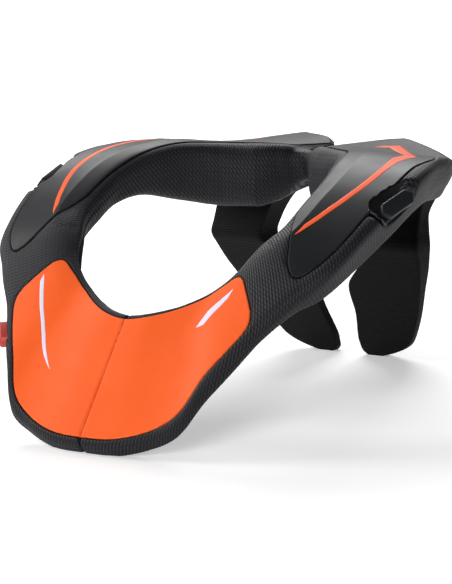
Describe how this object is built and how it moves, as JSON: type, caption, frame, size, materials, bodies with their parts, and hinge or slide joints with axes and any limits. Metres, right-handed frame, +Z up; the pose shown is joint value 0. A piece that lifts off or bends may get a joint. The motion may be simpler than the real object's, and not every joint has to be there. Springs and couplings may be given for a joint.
{
  "type": "motocross neck brace",
  "caption": "Youth neck brace: padded foam collar split at the front, raised moulded panels, strap hooks at the sides, a release button and flat rear legs.",
  "frame": {"origin": "middle of the footprint, on the surface that the brace rests on", "axes": "+Z up, +Y to the back (nape and rear legs), +X to the right seen from the front; the brace is the same on both sides of X = 0, apart from the button"},
  "size_m": [0.2652, 0.2618, 0.1371],
  "materials": {
    "collar_fabric": "matt black stretch fabric with a fine slanting rib over foam",
    "leg_fabric": "matt near-black fabric with a fine square grid",
    "panel_orange": "smooth satin orange moulding",
    "rubber_grey": "matt dark grey rubber with a soft sheen",
    "hook_plastic": "satin black plastic",
    "button_red": "satin red plastic"
  },
  "bodies": {
    "brace": {"foam_ring": "collar_fabric", "rear_leg_right": "leg_fabric", "rear_leg_left": "leg_fabric", "front_panel_right": "panel_orange", "front_panel_left": "panel_orange", "side_panel_right": "rubber_grey", "side_panel_left": "rubber_grey", "hook_seat_right": "hook_plastic", "hook_seat_left": "hook_plastic", "strap_hook_right": "hook_plastic", "strap_hook_left": "hook_plastic", "closure_bar": "hook_plastic"},
    "button": {"release_button": "button_red"}
  },
  "joints": [
    {"name": "button_press", "type": "slide", "parent": "brace", "child": "button", "axis": [0.7301, 0.6822, -0.0399], "range_m": [0, 0.003], "stiffness_N_per_m": 300, "springref_m": -0.002}
  ]
}
